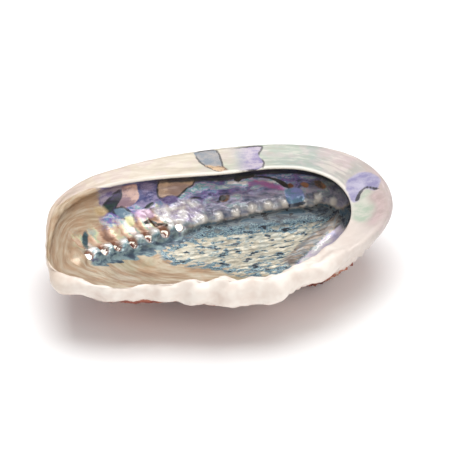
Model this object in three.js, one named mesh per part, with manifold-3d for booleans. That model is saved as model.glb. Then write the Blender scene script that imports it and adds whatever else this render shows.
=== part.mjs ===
// An abalone shell lying on its back with the bowl upwards. Millimetres, +Z up.
//
// +X is the spire end, -X the growing end, +Y the side with the flat inner shelf and -Y the side with
// the folded outer lip. The shell grew as one piece, so it is one solid. Its skin is worked out section
// by section around a hub: each section runs from the middle of the bowl up the inner wall, over the
// rim and down the back to the worn patch that the shell rests on. The row of breathing holes is then
// raised on the back and drilled.

import * as THREE from 'three';
import { mergeVertices } from 'three/addons/utils/BufferGeometryUtils.js';
import Module from 'manifold-3d';

// ---- Driving dimensions ----

const HUB = new THREE.Vector2(8, -2);   // plan point that the sections fan out from
const FLOOR = 6;                        // height of the bowl's floor at the hub
const WALL = 5;                         // thickness of the wall
const WORN = 0.6;                       // depth worn off the back where it rests
const SECTIONS = 96;
const RINGS = 38;

// The rim's outermost radius, every 15 degrees anticlockwise from +X
const RIM_RADIUS = [
  68.5, 71.5, 72, 68.5, 62, 57, 54.5, 55, 58.5, 66, 77, 84,
  85, 87.5, 81, 64, 56, 53, 52.5, 52, 52.5, 54, 58, 63.5,
];

// These run every 30 degrees anticlockwise from +X
const RIM_HEIGHT = [36, 38, 39, 39, 38.5, 36, 32.5, 29.5, 31.5, 32, 33.5, 34.5];
const SHELF_WIDTH = [19, 19, 18, 16.5, 14.5, 9, 3, 3, 6, 7, 10, 15];
const SHELF_DROP = [4, 4, 4, 4.8, 4.2, 2.6, 0.8, 1.0, 1.5, 1.5, 2.5, 4];  // rim down to inner edge
const UNDERCUT = [6, 6.5, 6.5, 5.5, 3.5, 0.8, 0, 0, 0, 0, 1, 5];         // hollow under that edge
const FLOOR_SPREAD = [0.95, 1.03, 0.97, 0.95, 0.76, 0.635, 0.709, 0.555, 0.52, 0.54, 0.60, 0.80];
const FLOOR_RISE = [11, 11, 10.5, 10.5, 11.5, 13.5, 15, 15, 13, 12, 12, 11.5];
const LIP_FACE = [5, 4, 3.5, 3.5, 3.5, 3.5, 4, 4, 9.2, 10.6, 6.5, 4.5];       // height of the outer face
const THINNEST_LIP = 3.5;
const WALL_SHARE = [1, 1, 1, 1, 0.95, 0.85, 0.75, 0.7, 0.7, 0.75, 0.8, 0.9]; // thinner at the growing edge

// Growth folds that scallop the outer lip: direction and half width in degrees, and height
const LIP_FOLDS = [
  { at: 202, spread: 9, rise: 3.4 },
  { at: 217, spread: 6, rise: 1.0 },
  { at: 231, spread: 6, rise: 1.5 },
  { at: 244, spread: 7, rise: 2.2 },
  { at: 258, spread: 8, rise: 2.2 },
  { at: 279, spread: 10, rise: 2.6 },
  { at: 304, spread: 12, rise: 2.0 },
];

// The spire, a low mound on the back where the whorls begin
const SPIRE = { at: new THREE.Vector2(43, -12), spread: 11, height: 3 };

// The row of breathing holes: its line in plan, from the growing end to the spire
const ROW_LINE = new THREE.CatmullRomCurve3([
  new THREE.Vector3(-62, -5.5, 0),
  new THREE.Vector3(-46, 8, 0),
  new THREE.Vector3(-31, 17, 0),
  new THREE.Vector3(-16, 25, 0),
  new THREE.Vector3(2, 32.2, 0),
  new THREE.Vector3(20, 35.8, 0),
  new THREE.Vector3(38, 35.8, 0),
  new THREE.Vector3(53, 31.5, 0),
  new THREE.Vector3(62, 20, 0),
]);
const HOLES = { first: 3.5, spacing: 8.8, shrink: 0.993, open: [1, 2, 3, 4, 5], count: 13 };
const HOLE_LEAN = new THREE.Vector3(0.2, 0.6, 0);   // added to the way straight out through the wall
const MOUND = { base: 4.2, top: 2.6, height: 2.4, sunk: 2 };
const HOLE_RADIUS = 1.6;
const MOUND_SIDES = 12;

// ---- Sections ----

// A smooth closed curve through evenly spaced values round a full turn
function around(values, angle) {
  const count = values.length;
  const place = ((angle / (2 * Math.PI)) * count + count) % count;
  const index = Math.floor(place);
  const [a, b, c, d] = [-1, 0, 1, 2].map((step) => values[(index + step + count) % count]);
  const f = place - index;
  return b + 0.5 * f * (c - a + f * (2 * a - 5 * b + 4 * c - d + f * (3 * (b - c) + d - a)));
}

function foldRise(angle) {
  const degrees = THREE.MathUtils.radToDeg(angle);
  let rise = 0;
  for (const fold of LIP_FOLDS) {
    const away = Math.abs(degrees - fold.at) / fold.spread;
    if (away < 1) rise += 0.5 * fold.rise * (1 + Math.cos(Math.PI * away));
  }
  return rise;
}

// The control points of one section as (radius, height), from the bowl's middle round to the back's
function sectionOutline(angle) {
  const fold = foldRise(angle);
  const rim = around(RIM_RADIUS, angle) + 0.6 * fold;
  const crest = around(RIM_HEIGHT, angle) + 0.5 * fold;
  const width = around(SHELF_WIDTH, angle);
  const drop = around(SHELF_DROP, angle);
  const undercut = around(UNDERCUT, angle);
  const rise = around(FLOOR_RISE, angle);
  const face = around(LIP_FACE, angle);
  const wall = WALL * around(WALL_SHARE, angle);
  const edge = rim - width;
  const edgeHeight = crest - drop;
  const foot = around(FLOOR_SPREAD, angle) * edge;
  const hollow = edge + undercut;
  const thick = face - THINNEST_LIP;

  const bowl = [
    new THREE.Vector2(0, FLOOR),
    new THREE.Vector2(0.3 * foot, FLOOR),
    new THREE.Vector2(0.68 * foot, FLOOR + 0.1 * (rise - FLOOR)),
    new THREE.Vector2(foot, rise),
    new THREE.Vector2(foot + 0.7 * (hollow - foot), rise + 0.42 * (edgeHeight - rise)),
    new THREE.Vector2(hollow, rise + 0.78 * (edgeHeight - rise)),
  ];
  const rolledRim = [
    new THREE.Vector2(edge + 0.45 * undercut + 0.4, edgeHeight - 2.4),
    new THREE.Vector2(edge - 0.6, edgeHeight - 1.2),
    new THREE.Vector2(edge + 0.6, edgeHeight + 0.3),
    new THREE.Vector2(edge + 0.5 * width, edgeHeight + 0.35 * drop),
    new THREE.Vector2(rim - 1.8 - 0.25 * thick, crest + 0.5),
    new THREE.Vector2(rim + 0.3, crest - 0.6 - 0.3 * thick),
    new THREE.Vector2(rim + 0.1, crest - face),
  ];

  // The back follows the bowl at the wall's thickness, square to it
  const back = bowl.map((point, i) => {
    const before = bowl[Math.max(i - 1, 0)];
    const after = bowl[Math.min(i + 1, bowl.length - 1)];
    const along = after.clone().sub(before).normalize();
    return new THREE.Vector2(point.x + wall * along.y, point.y - wall * along.x);
  });
  back[0].set(0, 0);
  back[1].y = 0;
  const shoulder = back[back.length - 1];
  shoulder.x = Math.min(shoulder.x + 0.25 * (rim - shoulder.x), rim - 2);
  shoulder.y = Math.min(shoulder.y, crest - face - 1.5);
  return [...bowl, ...rolledRim, ...back.reverse()];
}

// A point along a uniform cubic B-spline that starts and ends on its first and last control points
function splinePoint(points, t) {
  const last = points[points.length - 1];
  const held = [points[0], points[0], ...points, last, last];
  const spans = held.length - 3;
  const place = Math.min(t * spans, spans - 1e-9);
  const index = Math.floor(place);
  const f = place - index;
  const weights = [
    (1 - f) ** 3,
    3 * f ** 3 - 6 * f ** 2 + 4,
    -3 * f ** 3 + 3 * f ** 2 + 3 * f + 1,
    f ** 3,
  ];
  const point = new THREE.Vector2();
  weights.forEach((weight, i) => point.addScaledVector(held[index + i], weight / 6));
  return point;
}

const BACK_STARTS = 0.62;   // where along a section the back begins
const BACK_FULL = 0.72;     // and where the rim's influence on it ends

function skinPoint(angle, t, outline = sectionOutline(angle)) {
  const { x: radius, y: height } = splinePoint(outline, t);
  const point = new THREE.Vector3(HUB.x + radius * Math.cos(angle), HUB.y + radius * Math.sin(angle), height);
  const fromSpire = Math.hypot(point.x - SPIRE.at.x, point.y - SPIRE.at.y) / SPIRE.spread;
  const onBack = THREE.MathUtils.smoothstep(t, BACK_STARTS, BACK_FULL);
  point.z -= onBack * SPIRE.height * Math.exp(-fromSpire * fromSpire);
  point.z = Math.max(point.z, WORN);
  return point;
}

// ---- The skin as one closed mesh ----

function skinGeometry() {
  const rings = RINGS - 2;
  const positions = [];
  const outlines = [];
  for (let s = 0; s < SECTIONS; s += 1) {
    outlines.push(sectionOutline((2 * Math.PI * s) / SECTIONS));
  }
  for (let ring = 1; ring <= rings; ring += 1) {
    for (let s = 0; s < SECTIONS; s += 1) {
      const point = skinPoint((2 * Math.PI * s) / SECTIONS, ring / (RINGS - 1), outlines[s]);
      positions.push(...point);
    }
  }
  const bowlMiddle = rings * SECTIONS;
  const backMiddle = bowlMiddle + 1;
  positions.push(...skinPoint(0, 0), ...skinPoint(0, 1));

  const index = [];
  for (let s = 0; s < SECTIONS; s += 1) {
    const next = (s + 1) % SECTIONS;
    index.push(bowlMiddle, s, next);
    for (let ring = 0; ring < rings - 1; ring += 1) {
      const row = ring * SECTIONS;
      const above = row + SECTIONS;
      index.push(row + s, above + s, above + next);
      index.push(row + s, above + next, row + next);
    }
    const lastRow = (rings - 1) * SECTIONS;
    index.push(lastRow + s, backMiddle, lastRow + next);
  }
  const geometry = new THREE.BufferGeometry();
  geometry.setAttribute('position', new THREE.Float32BufferAttribute(positions, 3));
  geometry.setIndex(index);
  return geometry;
}

// ---- The row of holes ----

// The inner wall's point above a plan point, the way a hole runs from there, and how thick the wall is
function throughWall(planPoint) {
  const offset = new THREE.Vector2(planPoint.x, planPoint.y).sub(HUB);
  const angle = (offset.angle() + 2 * Math.PI) % (2 * Math.PI);
  const outline = sectionOutline(angle);
  const insideEnds = 0.3;
  const halvings = 30;
  let low = 0;
  let high = insideEnds;
  for (let i = 0; i < halvings; i += 1) {
    const middle = 0.5 * (low + high);
    if (splinePoint(outline, middle).x < offset.length()) low = middle;
    else high = middle;
  }
  const step = 0.01;
  const point = skinPoint(angle, low);
  const upWall = skinPoint(angle, low + step).sub(skinPoint(angle, low - step));
  const alongWall = skinPoint(angle + step, low).sub(skinPoint(angle - step, low));
  const way = alongWall.cross(upWall).normalize().add(HOLE_LEAN).normalize();
  return { point, way, wall: WALL * around(WALL_SHARE, angle) };
}

// A cylinder or cone whose middle is at a point and whose top faces a direction
function stub(topRadius, baseRadius, height, middle, direction) {
  const geometry = new THREE.CylinderGeometry(topRadius, baseRadius, height, MOUND_SIDES);
  const up = new THREE.Vector3(0, 1, 0);
  geometry.applyQuaternion(new THREE.Quaternion().setFromUnitVectors(up, direction));
  geometry.translate(middle.x, middle.y, middle.z);
  geometry.deleteAttribute('normal');
  geometry.deleteAttribute('uv');
  return mergeVertices(geometry);
}

function holePlaces() {
  const length = ROW_LINE.getLength();
  const places = [];
  let along = HOLES.first;
  let spacing = HOLES.spacing;
  for (let i = 0; i < HOLES.count; i += 1) {
    places.push({ ...throughWall(ROW_LINE.getPointAt(along / length)), size: HOLES.shrink ** i });
    along += spacing;
    spacing *= HOLES.shrink;
  }
  return places;
}

// ---- Joining and cutting ----

const wasm = await Module();
wasm.setup();

function solidFrom(geometry) {
  const vertProperties = new Float32Array(geometry.getAttribute('position').array);
  const triVerts = new Uint32Array(geometry.getIndex().array);
  return new wasm.Manifold(new wasm.Mesh({ numProp: 3, vertProperties, triVerts }));
}

function geometryFrom(solid) {
  const mesh = solid.getMesh();
  const geometry = new THREE.BufferGeometry();
  geometry.setAttribute('position', new THREE.Float32BufferAttribute(mesh.vertProperties, mesh.numProp));
  geometry.setIndex(Array.from(mesh.triVerts));
  return geometry;
}

function shellGeometry() {
  let solid = solidFrom(skinGeometry());
  const places = holePlaces();
  for (const { point, way, wall, size } of places) {
    const height = MOUND.height * size + MOUND.sunk;
    const middle = point.clone().addScaledVector(way, wall + 0.5 * height - MOUND.sunk);
    solid = solid.add(solidFrom(stub(MOUND.top * size, MOUND.base * size, height, middle, way)));
  }
  for (const number of HOLES.open) {
    const { point, way } = places[number];
    const depth = 4 * WALL;
    const middle = point.clone().addScaledVector(way, 0.5 * WALL);
    solid = solid.subtract(solidFrom(stub(HOLE_RADIUS, HOLE_RADIUS, depth, middle, way)));
  }
  return geometryFrom(solid);
}

// ---- The scene graph ----

const geometry = shellGeometry();
geometry.computeBoundingBox();
const box = geometry.boundingBox;
geometry.translate(-0.5 * (box.min.x + box.max.x), -0.5 * (box.min.y + box.max.y), -box.min.z);

const nacre = new THREE.MeshStandardMaterial({ color: 0xd9cfc4, roughness: 0.3, metalness: 0.1 });
const shell = new THREE.Mesh(geometry, nacre);
shell.name = 'shell';

const abalone = new THREE.Group();
abalone.add(shell);

export default abalone;
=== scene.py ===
import math

import bmesh
import bpy
import numpy as np
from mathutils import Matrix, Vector


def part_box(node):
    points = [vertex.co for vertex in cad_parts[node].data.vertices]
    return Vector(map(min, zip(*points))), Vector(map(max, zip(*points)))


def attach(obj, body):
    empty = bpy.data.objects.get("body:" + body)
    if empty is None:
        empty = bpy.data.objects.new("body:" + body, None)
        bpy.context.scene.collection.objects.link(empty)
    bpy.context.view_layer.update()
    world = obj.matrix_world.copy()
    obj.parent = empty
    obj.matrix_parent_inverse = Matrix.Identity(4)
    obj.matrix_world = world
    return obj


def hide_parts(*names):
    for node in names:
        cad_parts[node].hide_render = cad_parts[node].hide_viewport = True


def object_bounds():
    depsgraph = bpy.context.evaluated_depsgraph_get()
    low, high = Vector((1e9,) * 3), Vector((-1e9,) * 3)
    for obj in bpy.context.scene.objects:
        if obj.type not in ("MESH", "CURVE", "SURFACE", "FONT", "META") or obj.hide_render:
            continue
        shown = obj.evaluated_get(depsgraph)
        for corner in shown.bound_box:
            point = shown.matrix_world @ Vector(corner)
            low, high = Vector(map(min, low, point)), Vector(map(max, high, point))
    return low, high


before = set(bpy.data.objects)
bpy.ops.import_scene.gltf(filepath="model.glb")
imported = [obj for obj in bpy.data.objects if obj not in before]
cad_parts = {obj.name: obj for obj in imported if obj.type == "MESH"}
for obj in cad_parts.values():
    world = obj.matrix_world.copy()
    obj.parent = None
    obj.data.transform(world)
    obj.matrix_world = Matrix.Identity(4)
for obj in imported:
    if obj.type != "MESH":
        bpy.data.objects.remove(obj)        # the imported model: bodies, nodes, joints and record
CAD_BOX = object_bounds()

bl_info = {
    "name": "Abalone Shell",
    "version": (1, 0, 0),
    "blender": (4, 5, 0),
    "location": "View3D > Sidebar > Abalone",
    "description": "Builds an abalone shell lying on its back, and the studio that it is shown in",
    "category": "Add Mesh",
}

MM = 0.001
TURN = 2.0 * math.pi

# ---------------------------------------------------------------------------------------------------
# The shell's form, in millimetres. +X is the spire end, -X the growing end, +Y the side with the flat
# inner shelf, -Y the side with the folded outer lip. Sections fan out from the hub, anticlockwise
# from +X; tables with 24 values step by 15 degrees and those with 12 by 30.
# ---------------------------------------------------------------------------------------------------

HUB = (8.0, -2.0)
RIM_RADIUS = [68.5, 71.5, 72, 68.5, 62, 57, 54.5, 55, 58.5, 66, 77, 84,
              85, 87.5, 81, 64, 56, 53, 52.5, 52, 52.5, 54, 58, 63.5]
RIM_HEIGHT = [36, 38, 39, 39, 38.5, 36, 32.5, 29.5, 31.5, 32, 33.5, 34.5]
SHELF_WIDTH = [19, 19, 18, 16.5, 14.5, 9, 3, 3, 6, 7, 10, 15]
SHELF_DROP = [4, 4, 4, 4.8, 4.2, 2.6, 0.8, 1.0, 1.5, 1.5, 2.5, 4]
UNDERCUT = [6, 6.5, 6.5, 5.5, 3.5, 0.8, 0, 0, 0, 0, 1, 5]
FLOOR_SPREAD = [0.95, 1.03, 0.97, 0.95, 0.76, 0.635, 0.709, 0.555, 0.52, 0.54, 0.60, 0.80]
FLOOR_RISE = [11, 11, 10.5, 10.5, 11.5, 13.5, 15, 15, 13, 12, 12, 11.5]
LIP_FACE = [5, 4, 3.5, 3.5, 3.5, 3.5, 4, 4, 9.2, 10.6, 6.5, 4.5]
THINNEST_LIP = 3.5
WALL_SHARE = [1, 1, 1, 1, 0.95, 0.85, 0.75, 0.7, 0.7, 0.75, 0.8, 0.9]     # thinner at the growing edge

# Growth folds of the outer lip: direction and half width in degrees, and height
LIP_FOLDS = [(202, 9, 3.4), (217, 6, 1.0), (231, 6, 1.5), (244, 7, 2.2), (258, 8, 2.2),
             (279, 10, 2.6), (304, 12, 2.0)]
FOLD_LEAN = 4.0          # degrees that a fold leans towards the growing end at its crest

LOBE_SLANT = 0.87        # degrees that a lobe's ridge slants for each millimetre across the lip

SPIRE = (43.0, -12.0)
SPIRE_SPREAD = 11.0
SPIRE_HEIGHT = 3.0

# The line of the breathing holes in plan, from the growing end to the spire
ROW_LINE = [(-62, -5.5), (-46, 8), (-31, 17), (-16, 25), (2, 32.2), (20, 35.8), (38, 35.8), (53, 31.5),
            (62, 20)]
FIRST_HOLE = 3.5         # distance of hole number 0 along that line
HOLE_SPACING = 8.8
SPACING_SHRINK = 0.993   # each hole is that much closer and smaller than the one grown after it
HOLE_COUNT = 16
OPEN_HOLES = (1, 2, 3, 4, 5)
RAISED_HOLES = 13        # holes that still stand up as mounds on the back
DENTED_HOLES = OPEN_HOLES[-1] + 2     # the open holes and the closed ones next to them
HOLE_LEAN = (0.2, 0.6, 0.0)
FAR = 50.0               # distance given to points that are clear of every hole

# Where along a section, from 0 at the bowl's middle to 1 at the back's, each part lies
EDGE_AT = 0.40           # the inner edge of shelf or lip
FLOOR_ENDS = 0.27        # the foot of the wall
CREST_AT = 0.55          # the rim's top
LIP_FOOT_AT = 0.65       # the lower end of the rim's outer face
BACK_STARTS = 0.62
BACK_FULL = 0.72

# How close together the rings lie in the bowl, on the rim and on the back
RING_CLOSENESS = (1.15, 1.35, 0.62)

RIPPLE_SPACING = 2.7
FINE_LINE_SPACING = 2.1
GROWTH_LINE_SPACING = 2.6
GROWTH_STEP_SPACING = 9.5
GROWTH_SCALE = 46.0      # distance on the back over which growth changes by a factor of e
SPIRE_CORE = 0.03        # share of the shell's size below which growth is not told apart
CORDS = 26               # spiral cords in each radian

# The outline of the muscle scar, and the ridge beside the spire's channel, in plan
SCAR_OUTLINE = [(-2, 25), (-12, 21), (-21, 17), (-25, 11), (-20, 5), (-11, 3), (-3, 0), (7, -7), (24, -10),
                (34, -4), (43, 6), (50, 15), (54, 21), (45, 27), (31, 28), (12, 28)]
RIDGE_LINE = [(61, 20), (52, 18), (46, 14), (41.5, 10), (36, 4), (30, -2), (24, -8)]


class Patch:
    """A patch of nacre of its own colours, or a painted shadow (facet_shadow). WALL outlines are in X and
    depth below the inner edge, on the shelf's side of the bowl; SHELF outlines are in plan, on the shelf."""

    def __init__(self, name, on, colours, outline, soft=0.3, jag=0.6, line=0.0, fade=None):
        self.name = name
        self.on = on
        self.colours = colours       # display colours that streak into one another
        self.outline = outline       # in millimetres
        self.soft = soft             # half width of its blurred border, in millimetres
        self.jag = jag               # how far the border wanders
        self.line = line             # strength of the dark line along the border
        self.fade = fade             # X from which and to which it comes in


PATCHES = [
    Patch("lavender_wedge", "WALL", ((92, 74, 122), (158, 144, 160)), [
        (-53, -1), (-47, -1), (-41.5, 0.5), (-41.3, 3.7), (-45.3, 5.3), (-48, 7), (-50.3, 8.8),
        (-52, 6.5), (-51, 3)], soft=0.8),
    Patch("dark_patch", "WALL", ((58, 34, 92), (16, 14, 32)), [
        (-41.8, 3.4), (-41.2, 7), (-43.7, 10.7), (-46.3, 12.8), (-49, 11.6), (-50.4, 8.9), (-48, 6.8),
        (-45.5, 5)], line=0.8),
    Patch("dark_patch_foot", "WALL", ((14, 38, 36), (28, 62, 52)), [
        (-43.9, 9.5), (-46.3, 12.9), (-49, 11.7), (-50.4, 9), (-47.5, 8.8)], soft=1.0),
    Patch("pink_patch", "WALL", ((216, 180, 168), (146, 116, 128)), [
        (-41.2, 1.5), (-34.2, 2), (-33.2, 8.5), (-36.1, 12), (-39.8, 13), (-43.9, 13), (-43.7, 10.7),
        (-41.1, 7.1)], soft=0.4),
    Patch("blue_patch", "WALL", ((58, 62, 118), (142, 130, 168)), [
        (-34.4, 1.5), (-23.5, 1), (-24.5, 7.8), (-23.3, 10.6), (-25.8, 12.5), (-28.1, 14.6),
        (-31.3, 14.8), (-35.2, 12), (-33.2, 8.5)], soft=0.5, jag=0.8),
    Patch("tan_patch", "WALL", ((208, 176, 148), (166, 136, 124)), [
        (-23.6, 2.2), (-7.4, 2), (-7.7, 7.1), (-11.1, 8.7), (-14.9, 11.7), (-19, 10.8), (-23.3, 11.3),
        (-24.6, 7.8)], line=0.9),
    Patch("purple_patch", "WALL", ((44, 26, 84), (110, 92, 144)), [
        (-23.3, 11.3), (-19, 10.8), (-15.5, 11.8), (-14.5, 13.5), (-18.6, 15), (-22.5, 13.8)], soft=0.8),
    Patch("black_bit", "WALL", ((14, 14, 22), (26, 40, 44)), [
        (-27.6, 12.2), (-26.5, 13.2), (-29.5, 15.6), (-31.2, 15.2), (-30, 13.4)]),
    Patch("teal_bit", "WALL", ((96, 122, 142), (204, 212, 214)), [
        (-45.5, 12.2), (-41.2, 12.4), (-37, 17.5), (-38, 20.2), (-41.5, 18.8), (-44.5, 15.5)],
        soft=0.5, line=0.8),
    Patch("amber_bit", "WALL", ((176, 146, 104), (204, 180, 140)), [
        (-54.6, 7.6), (-50.5, 8.9), (-48.6, 12.4), (-51, 13.6), (-54, 11)], soft=1.0),
    Patch("green_bit", "WALL", ((206, 208, 146), (226, 218, 174)), [
        (-40.8, 18.2), (-37.6, 18.8), (-36.8, 23.5), (-39.4, 25), (-40.6, 21.5)], soft=0.7),
    Patch("rose_bit", "WALL", ((180, 142, 178), (206, 178, 194)), [
        (-35, 15.5), (-29, 16.5), (-27.5, 20.5), (-32, 21.5), (-35.5, 18.5)], soft=1.2, jag=0.8),
    Patch("pearl_cluster", "WALL", ((240, 236, 232), (172, 160, 186)), [
        (-27.5, 15.4), (-19, 15.8), (-12, 13.4), (-4.5, 17.5), (-6, 23.5), (-12, 26), (-19, 25.5),
        (-25, 22)], soft=1.8, jag=1.5),
    Patch("spot_glow", "WALL", ((120, 74, 36), (84, 56, 44)), [
        (5, 15), (9.2, 15.2), (9.8, 16.6), (7.8, 18.2), (5, 17.6)], soft=0.5),
    Patch("dark_spot", "WALL", ((24, 18, 20), (44, 34, 36)), [
        (4.2, 16.4), (5.2, 15.2), (7.2, 15.2), (8.2, 16.3), (7, 17.4), (5, 17.4)]),
    Patch("magenta_streak", "WALL", ((176, 92, 150), (136, 104, 156)), [
        (18.5, 10.4), (24, 10.8), (30, 12.4), (35.4, 14.8), (35.6, 16.4), (30, 15), (24, 13.4),
        (19, 12.6)], soft=0.9, jag=0.8),
    Patch("blue_facet", "WALL", ((140, 146, 206), (96, 138, 160)), [
        (35.9, 16), (40, 15.2), (44.4, 15.9), (44.8, 21), (41, 22.4), (37.6, 23.2), (36.4, 20)],
        soft=0.4),
    # painted shadow below the blue facet
    Patch("facet_shadow", "WALL", ((32, 38, 54), (50, 62, 78)), [
        (37, 23.4), (40.3, 22.8), (44.8, 21.2), (45.6, 22.4), (41, 24.4), (37.6, 25.2)], soft=0.4),
    Patch("dark_blot", "WALL", ((14, 10, 16), (30, 24, 30)), [
        (12.2, 9), (12.7, 6.6), (16.5, 5.3), (20.5, 6), (22.2, 7.4), (21, 9.2), (17.2, 9), (14.5, 9.8)],
        jag=1.0),
    Patch("dark_vein", "WALL", ((12, 12, 18), (20, 26, 30)), [
        (20.5, 8), (24, 8.5), (29.5, 9.7), (34, 11.2), (37.4, 13.3), (38.4, 15.6), (36, 15),
        (33.4, 13), (29.4, 10.7), (24, 9.4), (20.5, 9)], jag=0.3),
    Patch("arch_over_hole", "WALL", ((20, 46, 40), (70, 42, 26)), [
        (-28.4, 26.5), (-25, 25.4), (-22.2, 27.2), (-22.4, 29.2), (-25, 27.8), (-27.8, 28.8)]),
    Patch("arch_beside_hole", "WALL", ((22, 44, 40), (84, 50, 28)), [
        (-32.4, 23.5), (-29.5, 22.2), (-26.6, 24.2), (-26.2, 27.8), (-28, 28), (-29, 25.6), (-31.8, 25.2)]),
    Patch("teal_oval", "WALL", ((30, 58, 66), (66, 96, 104)), [
        (-61.2, 15), (-59.8, 14.6), (-58.6, 16), (-58.8, 18.6), (-60.2, 19), (-61.4, 17.2)], soft=0.5),
    Patch("amber_blot", "WALL", ((128, 72, 40), (40, 24, 20)), [
        (37.4, 13.2), (39.2, 13), (40.4, 14.2), (39.4, 15.4), (37.8, 15.2)], soft=0.4),
    Patch("amber_drop", "WALL", ((150, 96, 58), (50, 30, 22)), [
        (43.2, 12.6), (45, 11.8), (47, 12.5), (46.8, 13.9), (44.6, 14.4)], soft=0.4),
    Patch("amber_end", "WALL", ((136, 90, 58), (48, 30, 24)), [
        (49.4, 10.4), (52.2, 9.7), (54.6, 11.2), (53.2, 13), (50.4, 12.6)], soft=0.5),
    Patch("flute_green", "SHELF", ((172, 184, 166), (200, 198, 186)), [
        (59, 3), (62.5, 4.6), (64.8, 9), (68, 11), (70, 5), (68.5, -5), (63, -14), (57, -10), (58, -3)],
        soft=2.0, jag=1.0),
    Patch("flute_pink", "SHELF", ((202, 180, 178), (182, 162, 158)), [
        (67, 6), (71.5, 7), (73.5, 0), (70, -13), (63, -21), (62, -15), (67.5, -6)], soft=2.5, jag=1.5),
    Patch("slate_patch", "SHELF", ((112, 122, 134), (158, 152, 150)), [
        (-6, 49.5), (4.6, 50.2), (6.6, 40.5), (4.6, 37.6), (-1.6, 41.6), (-4.2, 45.2)], line=0.9),
    Patch("lilac_patch", "SHELF", ((134, 122, 166), (190, 178, 190)), [
        (8, 50), (26.3, 50.8), (24.4, 45.6), (26, 40.6), (23.8, 36.8), (14, 37.2), (6, 42)],
        jag=0.7, line=0.8, fade=(10, 21)),
    Patch("lilac_end", "SHELF", ((138, 132, 170), (174, 168, 190)), [
        (61, 20), (67.1, 23.2), (72.4, 20.5), (75, 14), (71.4, 7.8), (67.9, 11.6), (64.5, 9.3),
        (62.5, 4.4), (59.5, 4), (59.3, 14)], soft=0.7),
    Patch("end_crack", "SHELF", ((48, 46, 56), (80, 76, 84)), [
        (60.8, 3.6), (62.9, 4.9), (65, 9.5), (68, 11.9), (71, 8), (73, 7.4), (72.4, 8.6), (68.2, 12.9),
        (64, 10.4), (61.4, 5.8)], soft=0.25, jag=0.3),
    Patch("amber_specks", "SHELF", ((84, 50, 32), (214, 180, 142)), [
        (-2.4, 42), (1.5, 39.4), (5.4, 37.2), (9, 38), (6, 40.6), (1.4, 41.2)], soft=0.4, jag=1.4),
]


def smooth(low, high, value):
    """0 below low, 1 above high and a smooth step between."""
    x = np.clip((value - low) / (high - low), 0.0, 1.0)
    return x * x * (3.0 - 2.0 * x)


def plateau(start, full, fading, gone, value):
    """1 from full to fading, 0 below start and above gone, and a smooth step between."""
    return smooth(start, full, value) * (1.0 - smooth(fading, gone, value))


def hump(value, width):
    """A bell of height 1 around 0."""
    return np.exp(-(value / width) ** 2)


def waves(points, size, seed, stretch=(1.0, 1.0, 1.0), count=14):
    """Smooth seeded noise, about -1 to 1, whose lumps have about that size."""
    rng = np.random.default_rng(seed)
    ways = rng.normal(size=(count, 3))
    ways /= np.linalg.norm(ways, axis=1)[:, None]
    ways *= rng.uniform(0.7, 1.4, (count, 1)) * TURN / size
    phases = rng.uniform(0.0, TURN, count)
    return np.sin((points / stretch) @ ways.T + phases).sum(-1) * math.sqrt(1.0 / count)


def plan_distance(points, centre):
    """Distance in plan from a centre."""
    return np.hypot(points[..., 0] - centre[0], points[..., 1] - centre[1])


def curve(a, b, c, d, f):
    """The smooth curve through four evenly spaced values, at share f of the way from b to c."""
    return b + 0.5 * f * (c - a + f * (2 * a - 5 * b + 4 * c - d + f * (3 * (b - c) + d - a)))


def around(values, angle):
    """A smooth closed curve through evenly spaced values round a full turn."""
    values = np.asarray(values, float)
    count = len(values)
    place = (angle / TURN * count) % count
    index = np.floor(place).astype(int)
    f = place - index
    a, b, c, d = (values[(index + step) % count] for step in (-1, 0, 1, 2))
    return curve(a, b, c, d, f)


def through(points, count):
    """A smooth line through plan or space points, as count evenly spaced points and their distances."""
    points = np.asarray(points, float)
    ends = np.concatenate([[2 * points[0] - points[1]], points, [2 * points[-1] - points[-2]]])
    fine = []
    for a, b, c, d in zip(ends, ends[1:], ends[2:], ends[3:]):
        f = np.linspace(0.0, 1.0, 24, endpoint=False)[:, None]
        fine.append(curve(a, b, c, d, f))
    fine = np.concatenate(fine + [points[-1:]])
    length = np.concatenate([[0.0], np.cumsum(np.linalg.norm(np.diff(fine, axis=0), axis=1))])
    where = np.linspace(0.0, length[-1], count)
    return np.stack([np.interp(where, length, column) for column in fine.T], -1), where


def fold_rise(angle):
    """Height of the lip's folds in a direction."""
    degrees = np.degrees(angle) % 360.0
    rise = np.zeros_like(degrees)
    for middle, spread, height in LIP_FOLDS:
        away = np.abs(degrees - middle) / spread
        rise += np.where(away < 1.0, 0.5 * height * (1.0 + np.cos(np.pi * np.minimum(away, 1.0))), 0.0)
    return rise


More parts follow.
